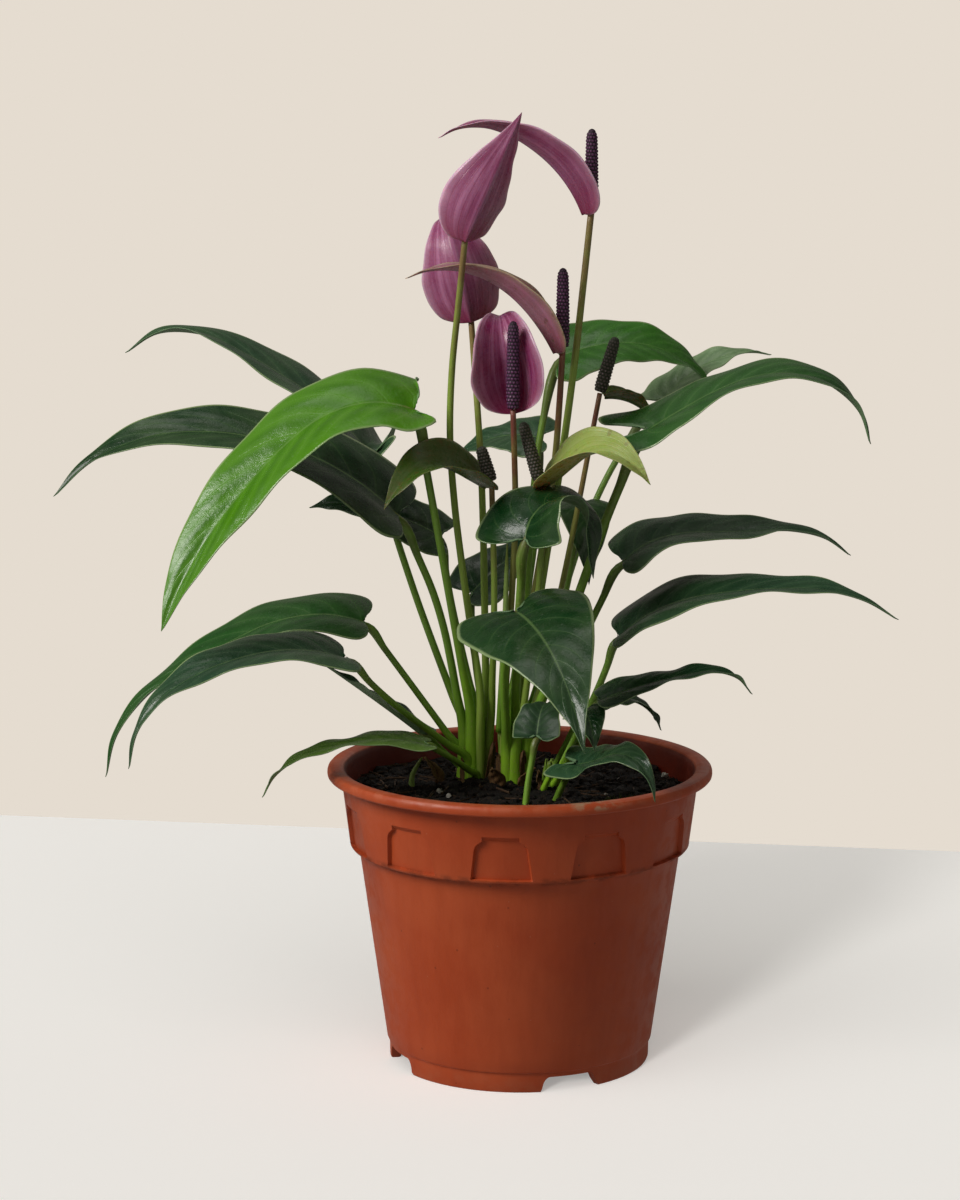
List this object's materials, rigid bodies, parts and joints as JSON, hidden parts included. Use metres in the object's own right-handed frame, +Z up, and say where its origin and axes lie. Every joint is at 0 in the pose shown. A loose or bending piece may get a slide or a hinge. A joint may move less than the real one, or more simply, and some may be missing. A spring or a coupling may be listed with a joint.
{
  "type": "potted anthurium",
  "caption": "Flowering anthurium with heart-shaped arching leaves and upright spadices in a round tapered nursery pot with a notched foot ring.",
  "frame": {"origin": "on the ground, under the middle of the whole plant's bounding box, leaves included; the pot's axis is 17 mm to the right of it and 14 mm behind it", "axes": "+Z up along the pot's axis, +X to the viewer's right and +Y to the back of the plant"},
  "size_m": [0.3224, 0.1782, 0.3682],
  "materials": {
    "pot_plastic": "moulded terracotta-coloured plastic, slightly worn",
    "potting_soil": "dark moist peat with fibres and perlite",
    "crown_stem": "short green-brown stem with dry sheath remains",
    "leaf_dark": "dark green leathery leaf, satin gloss, pale margin",
    "leaf_bright": "fresh bright green glossy leaf",
    "flower_stalk": "smooth green to olive stalk",
    "spathe_pink": "waxy purple-pink spathe with pale streaks",
    "spathe_olive": "ageing yellow-green spathe",
    "spadix": "dark purple spike covered in tiny florets",
    "dry_scale": "papery dry brown scale leaf",
    "young_shoot": "pale green young shoot"
  },
  "bodies": {
    "root": {"pot": "pot_plastic", "soil": "potting_soil", "crown_main": "crown_stem", "crown_second": "crown_stem", "crown_small": "crown_stem", "leaf_left_1": "leaf_dark", "leaf_left_2": "leaf_bright", "leaf_left_3": "leaf_dark", "leaf_left_4": "leaf_dark", "leaf_left_5": "leaf_dark", "leaf_left_6": "leaf_dark", "leaf_left_7": "leaf_dark", "leaf_left_8": "leaf_dark", "leaf_back_1": "leaf_dark", "leaf_back_2": "leaf_dark", "leaf_centre_1": "leaf_dark", "leaf_centre_2": "leaf_dark", "leaf_front_1": "leaf_dark", "leaf_front_2": "leaf_dark", "leaf_front_3": "leaf_dark", "leaf_right_1": "leaf_bright", "leaf_right_2": "leaf_dark", "leaf_right_3": "leaf_dark", "leaf_right_4": "leaf_dark", "leaf_right_5": "leaf_dark", "leaf_right_6": "leaf_dark", "leaf_right_7": "leaf_dark", "leaf_right_8": "leaf_dark", "flower_1_stalk": "flower_stalk", "flower_1_spathe": "spathe_pink", "flower_1_spadix": "spadix", "flower_2_stalk": "flower_stalk", "flower_2_spathe": "spathe_pink", "flower_2_spadix": "spadix", "flower_3_stalk": "flower_stalk", "flower_3_spathe": "spathe_pink", "flower_3_spadix": "spadix", "flower_4_stalk": "flower_stalk", "flower_4_spathe": "spathe_pink", "flower_4_spadix": "spadix", "flower_5_stalk": "flower_stalk", "flower_5_spathe": "spathe_pink", "flower_5_spadix": "spadix", "flower_6_stalk": "flower_stalk", "flower_6_spathe": "spathe_olive", "flower_6_spadix": "spadix", "flower_7_stalk": "flower_stalk", "flower_7_spathe": "spathe_olive", "flower_7_spadix": "spadix", "flower_8_stalk": "flower_stalk", "flower_8_spathe": "spathe_olive", "flower_8_spadix": "spadix", "young_shoot": "young_shoot", "soil_sprout": "young_shoot", "dry_scale_left": "dry_scale", "dry_scale_middle": "dry_scale", "dry_scale_right": "dry_scale"}
  },
  "joints": []
}
